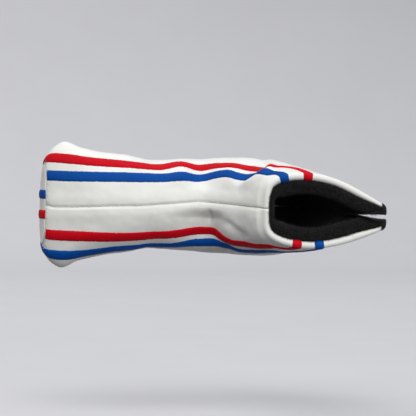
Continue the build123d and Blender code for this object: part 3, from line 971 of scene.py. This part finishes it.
def pile(name, grid, side, count, length, material):
    """Short tapering fibres standing on the plush."""
    normals = -grid_normals(grid) * side
    rows, columns = grid.shape[:2]
    i = RNG.integers(0, rows - 1, count)
    j = RNG.integers(0, columns - 1, count)
    x, y = RNG.random(count)[:, None], RNG.random(count)[:, None]
    root = (grid[i, j] * (1 - x) + grid[i + 1, j] * x) * (1 - y)
    root += (grid[i, j + 1] * (1 - x) + grid[i + 1, j + 1] * x) * y
    lean = normals[i, j] + RNG.normal(0, 0.42, (count, 3)) + np.array([0.12, 0.1, 0.0])
    lean /= np.linalg.norm(lean, axis=1, keepdims=True)
    tall = length * RNG.uniform(0.55, 1.15, count)[:, None]
    across = np.cross(lean, RNG.normal(0, 1, (count, 3)))
    across /= np.linalg.norm(across, axis=1, keepdims=True)
    other = np.cross(lean, across)
    bend = RNG.normal(0, 0.22, (count, 3)) * tall
    corners = [FIBRE_RADIUS * (math.cos(a) * across + math.sin(a) * other) for a in (0, 2.094, 4.189)]
    base = [root + corner for corner in corners]
    middle = [root + lean * tall * 0.55 + bend * 0.3 + 0.7 * corner for corner in corners]
    tip = root + lean * tall + bend
    vertices = np.stack([*base, *middle, tip], axis=1).reshape(-1, 3)
    faces = []
    for k in range(count):
        b = k * 7
        faces.append((b + 2, b + 1, b))
        for a in range(3):
            c = (a + 1) % 3
            faces.append((b + a, b + c, b + 3 + c, b + 3 + a))
            faces.append((b + 3 + a, b + 3 + c, b + 6))
    return mesh_object(name, to_world(vertices), faces, material)


for side_name, side in SIDES.items():
    fibres = pile(f"{side_name}_plush_pile", linings[side_name][:PILE_ROWS], side, FIBRES, FIBRE_LENGTH, PILE)
    fold(fibres)


# ---------------------------------------------------------------- studio and camera


def plain(name, colour, rough=0.85):
    """Paper, very slightly uneven."""
    look = Look(name).set(Roughness=rough)
    stops = (0.4, tuple(c * 0.985 for c in colour)), (0.6, colour)
    look.colour(look.ramp(look.cloud(90), *stops))
    return look.material


def sweep(name, material, floor_z, front, bend_start, bend, height, half_width=8.0, steps=24):
    """A floor that curves up into a backdrop, in one seamless sheet."""
    line = [(front, floor_z)]
    for angle in np.linspace(0, math.pi / 2, steps):
        line.append((bend_start + bend * math.sin(angle), floor_z + bend * (1 - math.cos(angle))))
    line.append((bend_start + bend, height))
    corners = [(x, y, z) for y, z in line for x in (-half_width, half_width)]
    faces = [(2 * k, 2 * k + 1, 2 * k + 3, 2 * k + 2) for k in range(len(line) - 1)]
    mesh = bpy.data.meshes.new(name)
    mesh.from_pydata(corners, [], faces)
    mesh.polygons.foreach_set("use_smooth", [True] * len(faces))
    mesh.materials.append(material)
    obj = bpy.data.objects.new(name, mesh)
    bpy.context.collection.objects.link(obj)
    obj.visible_diffuse = False


def area_light(name, place, target, size, power, colour=(1, 1, 1)):
    """A soft rectangular lamp that looks at a target, in metres and watts."""
    data = bpy.data.lights.new(name, "AREA")
    data.shape = "RECTANGLE"
    data.size, data.size_y = size
    data.energy = power
    data.color = colour
    obj = bpy.data.objects.new(name, data)
    obj.location = place
    obj.rotation_euler = (Vector(target) - Vector(place)).to_track_quat("-Z", "Y").to_euler()
    bpy.context.collection.objects.link(obj)
    return obj


def studio_world(strength):
    """Soft light from all round, bright overhead and dim from below."""
    world = bpy.data.worlds.new("studio")
    world.use_nodes = True
    nodes, links = world.node_tree.nodes, world.node_tree.links
    direction = nodes.new("ShaderNodeTexCoord")
    split = nodes.new("ShaderNodeSeparateXYZ")
    spread = nodes.new("ShaderNodeMapRange")
    spread.inputs["From Min"].default_value = -1.0
    height_ramp = nodes.new("ShaderNodeValToRGB")
    low, high = height_ramp.color_ramp.elements
    low.position, low.color = 0.35, (0.10, 0.10, 0.11, 1)
    high.position, high.color = 0.75, (0.93, 0.94, 1.0, 1)
    links.new(direction.outputs["Generated"], split.inputs["Vector"])
    links.new(split.outputs["Z"], spread.inputs["Value"])
    links.new(spread.outputs["Result"], height_ramp.inputs["Fac"])
    links.new(height_ramp.outputs["Color"], nodes["Background"].inputs["Color"])
    nodes["Background"].inputs["Strength"].default_value = strength
    bpy.context.scene.world = world


AZIMUTH, ELEVATION, ROLL = -VIEW_TURN, math.radians(1.5), math.radians(-1.65)
DISTANCE, WIDTH_SEEN, SENSOR = 0.95, 0.2172, 36
back = Vector((math.sin(AZIMUTH) * math.cos(ELEVATION), -math.cos(AZIMUTH) * math.cos(ELEVATION),
               math.sin(ELEVATION)))
right = Vector((math.cos(AZIMUTH), math.sin(AZIMUTH), 0))
# The camera looks at the cover's middle, a little in front of it.
AIM = Vector((0.0, -0.004, MIDDLE_HEIGHT * MM + 0.0006)) - right * 0.00105
camera_data = bpy.data.cameras.new("camera")
camera_data.sensor_width = SENSOR
camera_data.lens = SENSOR * DISTANCE / WIDTH_SEEN
camera = bpy.data.objects.new("camera", camera_data)
camera.location = AIM + back * DISTANCE
turn = back.to_track_quat("Z", "Y")
camera.rotation_euler = (turn.to_matrix() @ Matrix.Rotation(-ROLL, 3, "Z")).to_euler()
bpy.context.collection.objects.link(camera)
bpy.context.scene.camera = camera

sweep("studio_floor", plain("pale_paper", (0.67, 0.67, 0.685)), floor_z=-0.08, front=-3.0, bend_start=1.2,
      bend=0.6, height=4.0)
studio_world(strength=0.52)
COVER = (0, 0, 0.03)
area_light("key", (-0.40, -0.60, 0.95), COVER, (0.8, 0.6), 6.3, (1.0, 0.99, 0.96))
area_light("front_fill", (0.3, -1.3, 0.25), COVER, (1.2, 0.8), 8.6)
area_light("backdrop_light", (0, 0.6, 1.6), (0, 1.8, 0.3), (3.0, 1.0), 18)
bpy.context.scene.view_settings.view_transform = "Standard"
